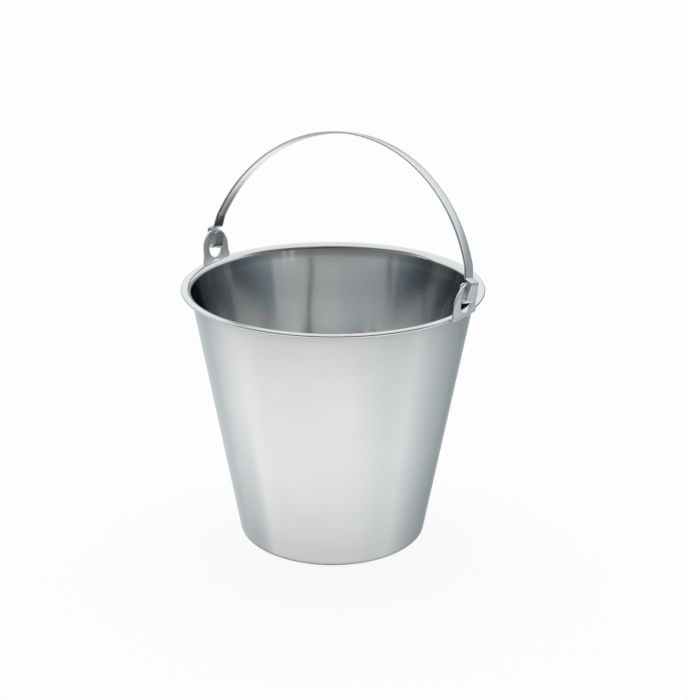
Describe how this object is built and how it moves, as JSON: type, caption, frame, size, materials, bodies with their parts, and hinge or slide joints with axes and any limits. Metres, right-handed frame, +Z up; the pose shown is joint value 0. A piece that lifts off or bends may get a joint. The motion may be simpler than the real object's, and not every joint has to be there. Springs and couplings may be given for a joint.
{
  "type": "milk pail",
  "caption": "Tapered stainless steel pail with a hemmed rim, upright eye plates on the rim and a flat strip bail that swings down either way.",
  "frame": {"origin": "middle of the base, on the surface that the pail stands on", "axes": "+Z up, X along the bail's pivot line from one eye plate to the other, +Y the side that the resting bail leans to"},
  "size_m": [0.3268, 0.308, 0.4219],
  "materials": {
    "body_steel": "satin, fine brush lines round the body",
    "ear_steel": "satin pressed sheet",
    "bail_steel": "satin strip, brushed along its length"
  },
  "bodies": {
    "pail": {"pail_body": "body_steel", "ear_right": "ear_steel", "ear_left": "ear_steel"},
    "bail": {"bail_handle": "bail_steel"}
  },
  "joints": [
    {"name": "bail_swing", "type": "hinge", "parent": "pail", "child": "bail", "pos_m": [0, 0, 0.2822], "axis": [1, 0, 0], "range_deg": [-79.5, 105.5]}
  ]
}
